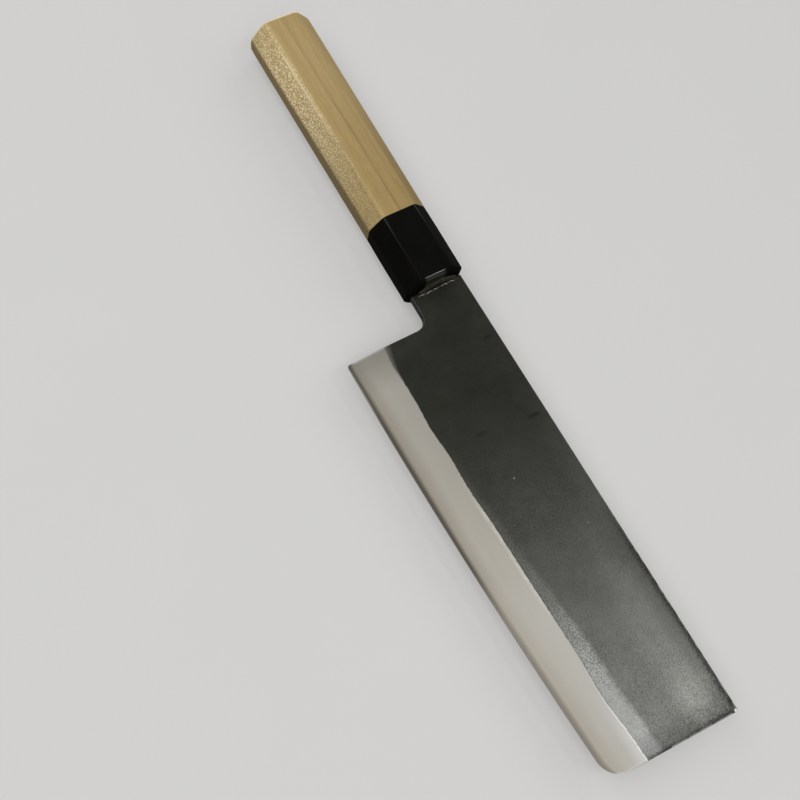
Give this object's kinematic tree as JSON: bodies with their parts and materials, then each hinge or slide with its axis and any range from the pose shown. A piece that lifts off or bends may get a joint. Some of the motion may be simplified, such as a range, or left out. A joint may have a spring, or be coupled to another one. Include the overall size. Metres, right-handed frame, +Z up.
{
  "type": "nakiri knife",
  "caption": "Japanese vegetable knife with a tall straight blade, black forge-scale faces, a ground bevel and an octagonal wooden handle with a dark horn ferrule.",
  "frame": {"origin": "bottom centre of the knife's box as it lies on its left side, with the handle's lower flat on the plane Z = 0", "axes": "+X along the handle's axis from the butt to the tip, +Y from the cutting edge to the spine, +Z up, square to the blade, out of its right face"},
  "size_m": [0.302, 0.057, 0.0197],
  "materials": {
    "core_steel": "hard steel, finely ground to the edge",
    "clad_iron": "soft iron, black forge scale on the faces and satin on the ground bevel",
    "horn": "black buffalo horn, polished",
    "magnolia": "unvarnished pale magnolia, fine grain along the handle",
    "resin": "dull olive-brown resin"
  },
  "bodies": {
    "root": {"core_steel": "core_steel", "right_cladding": "clad_iron", "left_cladding": "clad_iron", "tang_seal": "resin", "ferrule": "horn", "handle_grip": "magnolia"}
  },
  "joints": []
}
